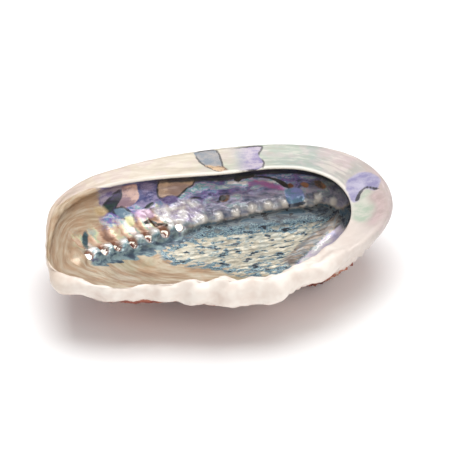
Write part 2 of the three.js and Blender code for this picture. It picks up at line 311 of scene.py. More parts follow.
def section_outlines(angle, shape):
    """Control points (radius, height) of the sections, from the bowl's middle round to the back's."""
    wall = (shape.wall / MM * around(WALL_SHARE, angle))[:, None]
    floor = shape.floor / MM
    lean = math.radians(FOLD_LEAN)
    low_fold = fold_rise(angle)
    top_fold = fold_rise(angle + lean)
    inner_fold = fold_rise(angle + 1.5 * lean)
    rim = around(RIM_RADIUS, angle)
    crest = around(RIM_HEIGHT, angle)
    width = around(SHELF_WIDTH, angle)
    drop = around(SHELF_DROP, angle)
    undercut = around(UNDERCUT, angle)
    rise = around(FLOOR_RISE, angle)
    face = around(LIP_FACE, angle)
    edge = rim - width
    edge_height = crest - drop
    foot = around(FLOOR_SPREAD, angle) * edge
    hollow = edge + undercut
    thick = face - THINNEST_LIP

    def point(radius, height):
        return np.stack([radius + 0.0 * rim, height + 0.0 * rim], -1)

    bowl = np.stack([
        point(0.0, floor),
        point(0.3 * foot, floor),
        point(0.68 * foot, floor + 0.1 * (rise - floor)),
        point(foot, rise),
        point(foot + 0.7 * (hollow - foot), rise + 0.42 * (edge_height - rise)),
        point(hollow, rise + 0.78 * (edge_height - rise)),
    ])
    rolled_rim = np.stack([
        point(edge + 0.45 * undercut + 0.4, edge_height - 2.4),
        point(edge - 0.6 + 0.15 * inner_fold, edge_height - 1.2 + 0.25 * inner_fold),
        point(edge + 0.6 + 0.2 * inner_fold, edge_height + 0.3 + 0.35 * inner_fold),
        point(edge + 0.5 * width + 0.3 * top_fold, edge_height + 0.35 * drop + 0.5 * top_fold),
        point(rim - 1.8 - 0.25 * thick + 0.5 * top_fold, crest + 0.5 + 0.6 * top_fold),
        point(rim + 0.3 + 0.6 * top_fold, crest - 0.6 - 0.3 * thick + 0.3 * top_fold),
        point(rim + 0.1 + 0.8 * low_fold, crest - face - 0.1 * low_fold),
    ])
    before = bowl[[0, 0, 1, 2, 3, 4]]
    after = bowl[[1, 2, 3, 4, 5, 5]]
    along = (after - before) / np.linalg.norm(after - before, axis=-1, keepdims=True)
    back = bowl + wall * np.stack([along[..., 1], -along[..., 0]], -1)
    back[0] = point(0.0, 0.0)
    back[1, :, 1] = 0.0
    back[5, :, 0] = np.minimum(back[5, :, 0] + 0.25 * (rim - back[5, :, 0]), rim - 2.0)
    back[5, :, 1] = np.minimum(back[5, :, 1], crest - face - 1.5)
    return np.concatenate([bowl, rolled_rim, back[::-1]])


def spline(points, t):
    """Points along the sections' uniform cubic B-splines, which start and end on the end points."""
    held = np.concatenate([points[:1], points[:1], points, points[-1:], points[-1:]])
    spans = len(held) - 3
    place = np.minimum(t * spans, spans - 1e-9)
    index = np.floor(place).astype(int)
    f = (place - index)[:, None, None]
    a, b, c, d = (held[index + step] for step in range(4))
    return ((1 - f) ** 3 * a + (3 * f ** 3 - 6 * f ** 2 + 4) * b
            + (-3 * f ** 3 + 3 * f ** 2 + 3 * f + 1) * c + f ** 3 * d) / 6.0


def skin_points(angle, t, shape):
    """The plain skin, before its relief: one row of points for each t."""
    profile = spline(section_outlines(angle, shape), t)
    radius = profile[..., 0]
    points = np.stack([HUB[0] + radius * np.cos(angle), HUB[1] + radius * np.sin(angle),
                       profile[..., 1]], -1)
    on_back = smooth(BACK_STARTS, BACK_FULL, t)[:, None]
    points[..., 2] -= on_back * SPIRE_HEIGHT * hump(plan_distance(points, SPIRE), SPIRE_SPREAD)
    points[..., 2] = np.maximum(points[..., 2], shape.worn / MM)
    return points


def ring_places(shape):
    """Where the rings lie along a section: close together in the bowl and rim, wider on the back."""
    angle = np.linspace(0.0, TURN, 24, endpoint=False)
    t = np.linspace(0.0, 1.0, 400)
    steps = np.linalg.norm(np.diff(skin_points(angle, t, shape), axis=0), axis=-1).mean(1)
    middle = 0.5 * (t[1:] + t[:-1])
    in_bowl, on_rim, on_back = RING_CLOSENESS
    closeness = np.where(middle < 0.36, in_bowl, np.where(middle < 0.66, on_rim, on_back))
    reach = np.concatenate([[0.0], np.cumsum(steps * closeness)])
    return np.interp(np.linspace(0.0, reach[-1], shape.rings + 1), reach, t)


class Skin:
    """The shell's skin as a grid of points, with the measures that relief and colours follow."""

    def __init__(self, shape):
        self.angle = np.linspace(0.0, TURN, shape.sections, endpoint=False)
        self.t = ring_places(shape)
        self.points = skin_points(self.angle, self.t, shape)
        self.normals = self.grid_normals(self.points)
        steps = np.linalg.norm(np.diff(self.points, axis=0), axis=-1)
        reach = np.concatenate([np.zeros((1, len(self.angle))), np.cumsum(steps, axis=0)])
        self.edge = self.reach_at(reach, EDGE_AT) - reach
        self.rim = reach - self.reach_at(reach, CREST_AT)
        self.inside = 1.0 - smooth(EDGE_AT - 0.03, EDGE_AT + 0.02, self.t)[:, None] + 0.0 * reach
        self.on_floor = self.inside * (self.t[:, None] < FLOOR_ENDS)
        self.degrees = np.degrees(self.angle)[None, :] + 0.0 * reach
        spire_side = plateau(270, 290, 345, 360, self.degrees)
        self.back = smooth(0.01, 0.07, self.t[:, None] - LIP_FOOT_AT - 0.05 * spire_side)

    def reach_at(self, reach, place):
        """Distance along each section to a place on it."""
        index = int(np.searchsorted(self.t, place))
        return reach[index][None, :]

    @staticmethod
    def grid_normals(points):
        """Outward normals of the grid, from its neighbouring points."""
        turn = np.roll(points, -1, axis=1) - np.roll(points, 1, axis=1)
        along = np.gradient(points, axis=0)
        normals = np.cross(along, turn)
        size = np.linalg.norm(normals, axis=-1, keepdims=True)
        normals = normals / np.maximum(size, 1e-9)
        normals[0] = (0.0, 0.0, 1.0)
        normals[-1] = (0.0, 0.0, -1.0)
        return normals

    def inner_point(self, plan):
        """The bowl's surface at a plan point, and the direction through the wall from there."""
        offset = np.subtract(plan, HUB)
        angle = math.atan2(offset[1], offset[0]) % TURN
        column = int(round(angle / TURN * len(self.angle))) % len(self.angle)
        bowl = self.t < 0.3
        radius = plan_distance(self.points[bowl, column], HUB)
        ring = int(np.searchsorted(radius, np.hypot(*offset)))
        ring = min(ring, int(bowl.sum()) - 1)
        return self.points[ring, column], -self.normals[ring, column]


def nearest(points, line):
    """Distance from each point to the nearest point of a line, and that point's number."""
    flat = points.reshape(-1, points.shape[-1])
    best = np.full(len(flat), np.inf)
    number = np.zeros(len(flat), int)
    for i, place in enumerate(line):
        away = ((flat - place) ** 2).sum(-1)
        closer = away < best
        best[closer] = away[closer]
        number[closer] = i
    return np.sqrt(best).reshape(points.shape[:-1]), number.reshape(points.shape[:-1])


def inside_outline(points, outline):
    """Distance in plan to a closed outline, positive inside it and limited to 8 mm outside."""
    line, _ = through(list(outline) + [outline[0]], 120)
    flat = points[..., :2].reshape(-1, 2)
    reach = 8.0
    near = ((flat > line.min(0) - reach) & (flat < line.max(0) + reach)).all(-1)
    away, _ = nearest(flat[near], line)
    x, y = flat[near].T
    inside = np.zeros(x.shape, bool)
    for (xa, ya), (xb, yb) in zip(line, np.roll(line, -1, axis=0)):
        crosses = (ya > y) != (yb > y)
        rise = yb - ya if yb != ya else 1e-9
        inside ^= crosses & (x < (xb - xa) * (y - ya) / rise + xa)
    depth = np.full(len(flat), -reach)
    depth[near] = np.where(inside, away, -away)
    return depth.reshape(points.shape[:-1])


def measure_row(skin, shape):
    """Distance from the row of holes, positive on the rim's side, the number of the hole that lies
    nearest, the holes themselves and the distances from them and from the bulbs between them."""
    line, along = through(ROW_LINE, 240)
    found = [skin.inner_point(place) for place in line]
    inner_line = np.array([point for point, _ in found])
    outward = np.array([way for _, way in found])
    outer_line = inner_line + shape.wall / MM * outward
    bowl = skin.t < 0.5
    away = np.zeros(skin.edge.shape)
    index = np.zeros(skin.edge.shape, int)
    away[bowl], index[bowl] = nearest(skin.points[bowl], inner_line)
    away[~bowl], index[~bowl] = nearest(skin.points[~bowl], outer_line)
    row_points = np.where(bowl[:, None, None], inner_line[index], outer_line[index])
    outside_row = plan_distance(skin.points, HUB) > plan_distance(row_points, HUB)
    skin.row = np.where(outside_row, away, -away)
    gone = 1.0 - (along[index] - FIRST_HOLE) * (1.0 - SPACING_SHRINK) / HOLE_SPACING
    skin.number = np.log(gone) / math.log(SPACING_SHRINK)

    shrink = SPACING_SHRINK ** np.arange(HOLE_COUNT)
    places = FIRST_HOLE + HOLE_SPACING * (1 - shrink) / (1 - SPACING_SHRINK)
    skin.holes = []
    for number, place in enumerate(places):
        at = int(np.argmin(np.abs(along - place)))
        way = outward[at] + HOLE_LEAN
        skin.holes.append(Hole(inner_line[at], way / np.linalg.norm(way), float(shrink[number]), number))
    skin.pit = np.full(skin.edge.shape, FAR)
    for hole in skin.holes[:DENTED_HOLES]:
        skin.pit = np.minimum(skin.pit, hole.off_axis(skin.points))
    between = (skin.number % 1.0 - 0.5) * HOLE_SPACING
    skin.bulb = np.hypot(between, skin.row - 0.3)


def measure_depth(skin):
    """Depth below the rim's inner edge, blended smoothly round the corner at the growing end."""
    edge_line = skin.points[int(np.searchsorted(skin.t, EDGE_AT))]
    growing_side = edge_line[(skin.angle > math.radians(150)) & (skin.angle < math.radians(200))]
    lip_side = edge_line[(skin.angle > math.radians(204)) & (skin.angle < math.radians(285))]
    from_growing, _ = nearest(skin.points, growing_side[::4])
    from_lip, _ = nearest(skin.points, lip_side[::4])
    nearer = -3.0 * np.logaddexp(-(from_growing + 13.0) / 3.0, -from_lip / 3.0)
    corner = plateau(150, 172, 245, 275, skin.degrees)
    skin.depth = skin.edge + corner * smooth(2, 10, skin.edge) * (nearer - skin.edge)


def measure_channel(skin):
    """Distance from the ridge, positive on the spire channel's side, and the share of its length."""
    ridge, _ = through(RIDGE_LINE, 80)
    away, index = nearest(skin.points[..., :2], ridge)
    before = ridge[np.maximum(index - 1, 0)]
    after = ridge[np.minimum(index + 1, len(ridge) - 1)]
    way = after - before
    offset = skin.points[..., :2] - ridge[index]
    side = way[..., 0] * offset[..., 1] - way[..., 1] * offset[..., 0]
    skin.ridge = np.where(side > 0, away, -away)
    skin.ridge_along = index / (len(ridge) - 1.0)


def measure_growth(skin):
    """Direction from the spire, and the share of the shell's size when it had grown that far."""
    offset = skin.points[..., :2] - np.array(SPIRE)
    skin.turn = np.arctan2(offset[..., 1], offset[..., 0])
    rim_line = skin.points[int(np.searchsorted(skin.t, LIP_FOOT_AT))]
    rim_turn = np.arctan2(rim_line[:, 1] - SPIRE[1], rim_line[:, 0] - SPIRE[0])
    order = np.argsort(rim_turn)
    size = np.interp(skin.turn, rim_turn[order], plan_distance(rim_line, SPIRE)[order], period=TURN)
    skin.growth = plan_distance(skin.points, SPIRE) / size


def measure_patches(skin):
    """Distance inside each patch's outline; WALL patches keep to the shelf's side of the bowl."""
    elsewhere = 100.0
    off_wall = (skin.row < -8.0) | (skin.y < -18.0) | (skin.t[:, None] > 0.42)
    wall_plan = np.stack([skin.x, skin.edge + elsewhere * off_wall], -1)
    off_shelf = (skin.t < 0.38) | (skin.t > 0.66)
    shelf_plan = skin.points[..., :2] + elsewhere * off_shelf[:, None, None]
    for patch in PATCHES:
        plan = wall_plan if patch.on == "WALL" else shelf_plan
        setattr(skin, patch.name, inside_outline(plan, patch.outline))


def measure(skin, shape):
    """Adds the measures that relief and colours follow."""
    skin.x, skin.y, skin.z = np.moveaxis(skin.points, -1, 0)
    measure_row(skin, shape)
    measure_depth(skin)
    skin.scar = inside_outline(skin.points, SCAR_OUTLINE)
    measure_channel(skin)
    measure_growth(skin)
    measure_patches(skin)


class Hole:
    """A breathing hole: where its axis leaves the bowl, which way it runs and its share of full size."""

    def __init__(self, place, way, share, number):
        self.place = place
        self.way = way
        self.share = share
        self.number = number

    def off_axis(self, points):
        """Distance of points from the axis, for those near the hole along it; FAR elsewhere."""
        offset = points - self.place
        along = offset @ self.way
        off = np.linalg.norm(offset - along[..., None] * self.way, axis=-1)
        return np.where(np.abs(along) < 9.0, off, FAR)


def ripple_relief(skin, shape):
    """Ripples that follow the rim round the growing end and along the outer lip's side of the floor."""
    points = skin.points
    sway = 1.5 * waves(points, 26, 1) + 0.5 * waves(points, 9, 2)
    ripple = np.sin(TURN * (skin.depth + sway) / RIPPLE_SPACING)
    flared = plateau(150, 165, 196, 206, skin.degrees) * smooth(0.3, 2.0, -skin.rim)
    fade = np.maximum(skin.inside * smooth(0.5, 4, skin.edge), flared) * (1 - smooth(30, 44, skin.depth))
    clear_of_row = np.maximum(smooth(13, 18, skin.row), smooth(8, 12, -skin.row))
    growing_end = plateau(140, 165, 262, 285, skin.degrees)
    fade = fade * growing_end * clear_of_row * (skin.t[:, None] < CREST_AT)
    return shape.ripples / MM * fade * ripple * (0.7 + 0.3 * waves(points, 12, 3))


def row_relief(skin):
    """The raised band that carries the holes: bulbs between the open ones with a ridge up the wall from
    each, knobs along the sealed ones, and a dent with a raised border at each of the youngest."""
    points = skin.points
    row = skin.row
    number = skin.number
    on_row = skin.inside * plateau(-0.9, -0.2, 14.5, 16.5, number)
    young = 1 - smooth(6.0, 7.5, number)
    band = plateau(-4.4, -2.2, 1.5, 8.0, row)
    height = on_row * band * (1.3 * young + 1.1 * (1 - young))
    swayed = number + smooth(0, 6, row) * (0.16 * waves(points, 13, 23) + 0.06 * waves(points, 5, 24))
    crest = (0.5 - 0.5 * np.cos(TURN * swayed)) ** 1.3
    ridges = smooth(-2.5, 0.0, row) * (1 - smooth(3, 14, row + 2.5 * waves(points, 9, 25)))
    height += on_row * young * ridges * 1.2 * crest * (0.8 + 0.4 * waves(points, 6, 4))
    height += on_row * young * 1.2 * hump(skin.bulb, 2.5)
    height += on_row * (1 - young) * 1.4 * hump(skin.bulb, 2.3)
    height -= on_row * (1 - young) * 0.5 * hump(row - 4.0, 1.6)
    for hole in skin.holes[:DENTED_HOLES]:
        off = hole.off_axis(points)
        height += skin.inside * (0.5 * hump(off - 3.2, 0.9) - 2.0 * hump(off, 2.3))
    return height


def wall_relief(skin):
    """Lumps of the wall above the row, the cluster of pearly bumps where the sealed holes begin, and the
    sharp-edged patches, which lie a little lower."""
    points = skin.points
    lumps = skin.inside * smooth(2, 6, skin.row) * smooth(1, 5, skin.edge)
    lumps = lumps * plateau(10, 30, 138, 146, skin.degrees)
    long_points = points * (0.45, 1.0, 1.0)
    height = lumps * (0.30 * waves(long_points, 5.5, 5) + 0.14 * waves(long_points, 2.6, 6))
    bumps = skin.inside * smooth(-2.0, 1.5, skin.pearl_cluster)
    height += bumps * (0.55 * waves(points, 5.2, 7) + 0.25 * waves(points, 2.7, 8))
    for patch in PATCHES:
        if patch.on == "WALL" and patch.soft <= 0.5:
            height -= 0.12 * smooth(-0.4, 0.4, getattr(skin, patch.name))
    return height


def scar_relief(skin, shape):
    """The rough scar where the muscle was fixed, with pits, and streaks that run towards the spire."""
    scar = skin.on_floor * smooth(-1.0, 2.5, skin.scar + 1.2 * waves(skin.points, 8, 9))
    turned = np.stack([skin.x * 0.94 + skin.y * 0.34, skin.y * 0.94 - skin.x * 0.34, skin.z], -1)
    streak = waves(turned, 3.0, 10, stretch=(3.2, 0.8, 1.0))
    streak += 0.6 * waves(turned, 1.9, 11, stretch=(2.2, 0.8, 1.0))
    pits = np.maximum(waves(turned, 4.2, 12, stretch=(1.5, 0.9, 1.0), count=20) - 1.1, 0.0)
    return shape.scar_roughness / MM * scar * (0.3 + 0.6 * streak - 1.4 * pits)


def channel_relief(skin):
    """The ridge beside the spire's channel, and the channel beyond it."""
    reach = skin.on_floor * plateau(0.0, 0.15, 0.8, 1.0, skin.ridge_along)
    return reach * (hump(skin.ridge + 0.5, 3.2) - 0.9 * hump(skin.ridge - 7.0, 4.4))


def rim_relief(skin):
    """Fine growth lines and soft dents along the shelf and lip, the lip's lobes and the shelf's flute."""
    points = skin.points
    top = smooth(EDGE_AT - 0.02, EDGE_AT + 0.02, skin.t)[:, None] * (1 - skin.back)
    lip = plateau(165, 200, 315, 340, skin.degrees)
    lines = np.sin(TURN * (skin.rim + 0.8 * waves(points, 9, 13)) / FINE_LINE_SPACING)
    height = top * (0.02 + 0.05 * lip) * lines
    height += top * (0.05 + 0.12 * lip) * waves(points, 7.5, 14) + top * lip * 0.10 * waves(points, 3.6, 26)
    height += top * lip * 0.30 * waves(points, 14, 15)
    slant = np.radians(skin.degrees - LOBE_SLANT * (6.0 - skin.rim))
    lobes = plateau(-9, -2, 9, 15, skin.rim) * (skin.t[:, None] < BACK_FULL)
    height += lip * lobes * (0.75 * fold_rise(slant) - 0.6)
    signed_degrees = (skin.degrees + 180.0) % 360.0 - 180.0
    flute = plateau(-22, -8, 10, 20, signed_degrees)
    height -= top * flute * 1.2 * hump(skin.rim + 10, 5.0)
    return height


def back_relief(skin, shape):
    """The back: growth lines, spiral cords, crust and the raised row of holes."""
    points = skin.points
    back = smooth(LIP_FOOT_AT + 0.005, LIP_FOOT_AT + 0.05, skin.t)[:, None]
    back = back * smooth(0.4, 2.5, skin.z - shape.worn / MM)
    grown = np.log(np.maximum(skin.growth, SPIRE_CORE))
    stage = GROWTH_SCALE * grown
    sway = 1.3 * waves(points, 22, 16) + 0.4 * waves(points, 7, 17)
    height = back * 0.24 * np.sin(TURN * (stage + sway) / GROWTH_LINE_SPACING)
    height += back * 0.35 * np.sin(TURN * (stage + 1.5 * sway) / GROWTH_STEP_SPACING)
    cord = CORDS * (skin.turn + 0.42 * grown)
    height += back * 0.25 * smooth(0.1, 0.3, skin.growth) * np.sin(cord + 0.6 * waves(points, 30, 18))
    height += back * 0.22 * waves(points, 5.0, 19) + back * 0.10 * waves(points, 2.6, 20)
    crust = np.maximum(waves(points, 15, 21), 0.0) * np.maximum(waves(points, 3.8, 22), 0.0)
    clear_of_lip = smooth(LIP_FOOT_AT + 0.05, LIP_FOOT_AT + 0.12, skin.t)[:, None]
    height += back * clear_of_lip * shape.crust / MM * np.minimum(crust, 1.2)
    outside = skin.t[:, None] > 0.5
    for hole in skin.holes[:RAISED_HOLES]:
        off = hole.off_axis(points) / hole.share
        mound = 2.4 * hole.share * (1 - smooth(1.8, 4.6, off))
        dent = (1.0 if hole.number in OPEN_HOLES else 0.6) * hump(off, 1.5)
        height += outside * (mound - dent)
    return height


def relief(skin, shape):
    """Height of the relief along the outward normal, in millimetres."""
    return (ripple_relief(skin, shape) + row_relief(skin) + wall_relief(skin) + scar_relief(skin, shape)
            + channel_relief(skin) + rim_relief(skin) + back_relief(skin, shape))


def pose_on_box(points):
    """How far the skin moves so that its box sits on the shell's CAD box, in millimetres."""
    low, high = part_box("shell")
    middle = 0.5 * (Vector(low) + Vector(high)) / MM
    own = 0.5 * (points.min((0, 1)) + points.max((0, 1)))
    return np.array([middle.x - own[0], middle.y - own[1], low[2] / MM - points[..., 2].min()])


def drill_holes(mesh_data, skin, shift, shape):
    """Opens the open holes right through the wall and closes each with a round wall of its own."""
    centres = np.empty(len(mesh_data.polygons) * 3)
    mesh_data.polygons.foreach_get("center", centres)
    centres = centres.reshape(-1, 3) / MM - shift
    bm = bmesh.new()
    bm.from_mesh(mesh_data)
    bm.faces.ensure_lookup_table()
    faces = list(bm.faces)
    radius = shape.hole_radius / MM
    for number in OPEN_HOLES:
        hole = skin.holes[number]
        chosen = {faces[i] for i in np.flatnonzero(hole.off_axis(centres) < radius)}
        border = [edge for edge in {edge for face in chosen for edge in face.edges}
                  if sum(face in chosen for face in edge.link_faces) == 1]
        bmesh.ops.delete(bm, geom=list(chosen), context="FACES")
        start = Vector((hole.place + shift) * MM)
        axis = Vector(hole.way)
        for vert in {vert for edge in border for vert in edge.verts}:
            offset = vert.co - start
            offset -= offset.dot(axis) * axis
            vert.co += offset.normalized() * (shape.hole_radius - offset.length)
        bmesh.ops.bridge_loops(bm, edges=border)
    loose = [vert for vert in bm.verts if not vert.link_faces]
    bmesh.ops.delete(bm, geom=loose, context="VERTS")
    bmesh.ops.recalc_face_normals(bm, faces=bm.faces)
    bm.to_mesh(mesh_data)
    bm.free()


# ---------------------------------------------------------------------------------------------------
# Materials
# ---------------------------------------------------------------------------------------------------

def tint(red, green, blue):
    """A display colour, 0 to 255 a channel, as the linear colour that shaders take."""
    parts = [c / 255.0 for c in (red, green, blue)]
    return tuple(c / 12.92 if c <= 0.04045 else ((c + 0.055) / 1.055) ** 2.4 for c in parts)


class Value:
    """A shader socket that takes part in sums."""

    def __init__(self, tree, socket):
        self.tree = tree
        self.socket = socket

    def __add__(self, other):
        return self.tree.math("ADD", self, other)

    def __sub__(self, other):
        return self.tree.math("SUBTRACT", self, other)

    def __rsub__(self, other):
        return self.tree.math("SUBTRACT", other, self)

    def __mul__(self, other):
        return self.tree.math("MULTIPLY", self, other)

    def __truediv__(self, other):
        return self.tree.math("DIVIDE", self, other)

    __radd__ = __add__
    __rmul__ = __mul__


class Tree:
    """The nodes of one material or world."""

    def __init__(self, owner):
        owner.use_nodes = True
        self.tree = owner.node_tree
        self.tree.nodes.clear()

    def node(self, kind, settings=None, inputs=None):
        """Adds a node: its settings first, a ramp's stops among them, then its sockets' values or links."""
        node = self.tree.nodes.new(kind)
        for name, value in (settings or {}).items():
            if name == "stops":
                while len(node.color_ramp.elements) < len(value):
                    node.color_ramp.elements.new(1.0)
                for stop, (place, colour) in zip(node.color_ramp.elements, value):
                    stop.position = place
                    stop.color = (*colour, 1.0)
            else:
                setattr(node, name, value)
        for name, value in (inputs or {}).items():
            if isinstance(value, Value):
                self.tree.links.new(value.socket, node.inputs[name])
            elif isinstance(value, tuple) and node.inputs[name].type == "RGBA":
                node.inputs[name].default_value = (*value, 1.0)
            else:
                node.inputs[name].default_value = value
        return node

    def out(self, kind, output=0, settings=None, inputs=None):
        return Value(self, self.node(kind, settings, inputs).outputs[output])

    def math(self, operation, *terms):
        return self.out("ShaderNodeMath", 0, {"operation": operation}, dict(enumerate(terms)))

    def step(self, low, high, value):
        """0 below low, 1 above high and a smooth step between; low may be the larger."""
        sockets = {"Value": value, "From Min": low, "From Max": high}
        if low > high:
            sockets.update({"From Min": high, "From Max": low, "To Min": 1.0, "To Max": 0.0})
        return self.out("ShaderNodeMapRange", 0, {"interpolation_type": "SMOOTHSTEP"}, sockets)

    def mix(self, amount, under, over):
        return self.out("ShaderNodeMix", 2, {"data_type": "RGBA"}, {0: amount, 6: under, 7: over})

    def noise(self, points, size, detail=2.0, roughness=0.5, warp=0.0, depth=None):
        """Noise, 0 to 1, whose lumps have about that size in the unit of the points and the depth."""
        sockets = {"Vector": points, "Scale": 1.0 / size, "Detail": detail, "Roughness": roughness,
                   "Distortion": warp}
        if depth is None:
            return self.out("ShaderNodeTexNoise", 0, {}, sockets)
        return self.out("ShaderNodeTexNoise", 0, {"noise_dimensions": "4D"}, {**sockets, "W": depth / size})

    def measure(self, name):
        """One of the measures kept on the skin."""
        return self.out("ShaderNodeAttribute", "Fac", {"attribute_name": name})

    def ramp(self, value, *stops):
        """Colours at places from 0 to 1, blended between."""
        stops = [(place, tuple(colour)[:3]) for place, colour in stops]
        return self.out("ShaderNodeValToRGB", 0, {"stops": stops}, {"Fac": value})

    def mapped(self, points, move=(0.0, 0.0, 0.0), turn=0.0, scale=(1.0, 1.0, 1.0)):
        sockets = {"Vector": points, "Location": move, "Rotation": (0.0, 0.0, turn), "Scale": scale}
        return self.out("ShaderNodeMapping", 0, {"vector_type": "POINT"}, sockets)


PAINTED_HOLE_GLOW = 0.6          # strength of the painted glow in the holes

MEASURES = ("x", "y", "z", "edge", "depth", "rim", "row", "number", "bulb", "pit", "scar", "ridge",
            "ridge_along", "growth", "inside", "back")


class Nacre:
    """The shell's colours, laid over one another from the wall and floor outwards."""

    def __init__(self, tree, shift):
        t = self.t = tree
        place = t.mapped(t.out("ShaderNodeTexCoord", "Object"), tuple(-shift), scale=(1.0 / MM,) * 3)
        for name in MEASURES:
            setattr(self, name, t.measure(name))
        self.place = place
        self.jag = t.noise(place, 2.4, 3.0, 0.62) - 0.5
        self.grain = t.noise(place, 0.6, 2.0, 0.6)
        self.patchy = t.noise(place, 6.0, 2.0)
        self.broad = t.noise(place, 17.0)
        self.flow = t.noise(t.mapped(place, scale=(0.24, 0.7, 1.0)), 3.0, 4.0, 0.62, 0.5)
        self.rim_flow = t.noise(t.mapped(place, scale=(0.14,) * 3), 1.5, 3.0, 0.55, 0.3, self.depth)
        self.scar_flow = t.noise(t.mapped(place, turn=math.radians(-20.0), scale=(0.3, 1.0, 1.0)),
                                 1.5, 3.0, 0.65, 0.3)
        self.specks = t.noise(t.mapped(place, move=(40.0, 9.0, 0.0), turn=math.radians(-20.0),
                                       scale=(0.5, 1.0, 1.0)), 2.3, 2.0, 0.6)

    def tan_floor(self, look):
        """Tan ripples that follow the rim."""
        t = self.t
        tan = t.ramp(self.rim_flow, (0.26, look.tan_dark), (0.46, look.tan), (0.56, look.tan_pale),
                     (0.72, tint(224, 210, 190)))
        tan = t.mix(t.step(0.5, 0.66, self.broad) * 0.45, tan, tint(168, 164, 132))
        tan = t.mix(t.step(0.52, 0.64, self.patchy) * 0.30, tan, tint(206, 162, 124))
        wall = t.step(26.0, 10.0, self.edge) * t.step(-10.0, -40.0, self.x) * 0.40
        return t.mix(wall, tan, tint(160, 128, 98))

    def far_wall(self, colour):
        """Streaks of lavender, blue, pink and teal below the shelf, silvery near the row of holes, with
        painted shade darkening them towards the shelf's edge.
        """
        t = self.t
        pools = t.noise(t.mapped(self.place, scale=(0.45, 0.8, 1.0)), 5.5, 3.0, 0.55, 0.8)
        streaks = t.ramp(pools * 0.62 + self.flow * 0.38, (0.36, tint(34, 28, 50)), (0.42, tint(78, 74, 138)),
                         (0.455, tint(128, 100, 164)), (0.49, tint(70, 122, 160)),
                         (0.525, tint(190, 166, 204)), (0.56, tint(100, 166, 178)),
                         (0.61, tint(222, 214, 218)))
        silver = t.ramp(self.flow * 0.6 + pools * 0.4, (0.38, tint(84, 96, 112)), (0.45, tint(148, 148, 160)),
                        (0.50, tint(184, 168, 186)), (0.56, tint(146, 168, 172)), (0.62, tint(224, 216, 214)))
        near_row = t.step(13.0, 4.0, self.row + self.jag * 8.0) * 0.75
        streaks = t.mix(near_row, streaks, silver)
        # painted shade: the streaks darken towards the shelf's inner edge, where it overhangs the wall
        shade = t.step(12.0, 3.0, self.edge) * 0.35
        streaks = t.mix(shade, streaks, tint(44, 38, 50))
        far = t.step(-2.5, -0.5, self.row) * t.step(-54.0, -49.0, self.x + self.jag * 5.0)
        return t.mix(far * t.step(-20.0, -12.0, self.y), colour, streaks)

    def young_row(self, colour):
        """Copper and cream ridges up the wall from the youngest holes, with white and teal bulbs."""
        t = self.t
        crest = 0.5 - 0.5 * t.math("COSINE", self.number * TURN)
        fan = t.noise(t.mapped(self.place, scale=(0.2,) * 3), 3.2, 3.0, 0.6, 0.6, self.number * HOLE_SPACING)
        copper = t.ramp(crest * 0.2 + fan * 0.8, (0.32, tint(128, 92, 72)), (0.41, tint(182, 140, 112)),
                        (0.48, tint(214, 184, 158)), (0.54, tint(206, 208, 166)), (0.59, tint(150, 172, 166)),
                        (0.65, tint(226, 196, 188)), (0.74, tint(236, 228, 216)))
        young = t.step(6.2, 5.2, self.number + self.jag * 1.2) * t.step(-0.36, 0.3, self.number)
        ridges = young * t.step(0.6, 2.2, self.row) * t.step(17.0, 10.0, self.row + self.jag * 12.0)
        colour = t.mix(ridges, colour, copper)
        near_row = t.step(-1.5, 0.5, self.row) * t.step(5.0, 2.5, self.row)
        colour = t.mix(near_row * young, colour, t.mix(crest, tint(126, 78, 54), tint(196, 186, 176)))
        pearl = t.mix(t.step(1.4, -1.0, self.row + self.jag * 3.0), tint(240, 240, 236), tint(118, 154, 162))
        bulb = t.step(3.3, 1.7, self.bulb + self.jag * 1.5) * t.step(6.8, 6.0, self.number)
        return t.mix(bulb * t.step(-0.36, -0.1, self.number), colour, pearl)

    def sealed_row(self, colour):
        """Silvery knobs over the sealed holes, their near white partly the nacre's own and partly painted
        highlight, and a dull teal strip below them, partly painted shade.
        """
        t = self.t
        sealed = t.step(6.6, 7.4, self.number) * t.step(16.4, 15.4, self.number)
        beads = t.step(-4.0, -1.5, self.row) * t.step(5.0, 2.0, self.row) * sealed * 0.7
        silver = t.ramp(self.flow, (0.4, tint(72, 84, 100)), (0.6, tint(150, 148, 152)))
        colour = t.mix(beads, colour, silver)
        # painted highlight, partly: the knobs turn near white
        knob = t.step(3.2, 1.2, self.bulb + self.jag * 2.0) * sealed
        colour = t.mix(knob * 0.9, colour, tint(226, 220, 212))
        # painted shade, partly: the strip below the knobs is dark teal where the band faces the floor
        strip = t.ramp(self.flow, (0.38, tint(22, 30, 44)), (0.45, tint(54, 68, 82)),
                       (0.52, tint(104, 110, 112)), (0.60, tint(60, 86, 102)))
        below = t.step(-1.4, -3.0, self.row + self.jag * 2.0)
        below = below * t.step(-14.0, -11.0, self.row + self.jag * 3.0)
        self.strip = below * t.step(5.6, 6.6, self.number)
        strip = t.mix(t.step(0.60, 0.64, self.specks), strip, tint(14, 18, 28))
        return t.mix(self.strip, colour, strip)

    def teal_band(self, colour):
        """The teal band below the open holes, whose lower edge steps at each stage of growth; its teal is
        partly the band's own colour and partly painted shade on its face towards the floor.
        """
        t = self.t
        stage = t.math("FRACT", self.number + 0.3)
        # painted shade, partly: dark teal on the band's face below the open holes
        teal = t.ramp(self.flow * 0.6 + self.patchy * 0.4, (0.38, tint(44, 58, 76)),
                      (0.46, tint(78, 98, 112)), (0.53, tint(134, 156, 158)), (0.62, tint(84, 90, 116)))
        band = t.step(-0.4, 0.3, self.row + stage * 2.4 + self.jag * 0.8 + 5.8)
        band = band * t.step(-0.2, -1.4, self.row) * t.step(-0.36, -0.1, self.number)
        return t.mix(band * t.step(7.2, 5.6, self.number), colour, teal)

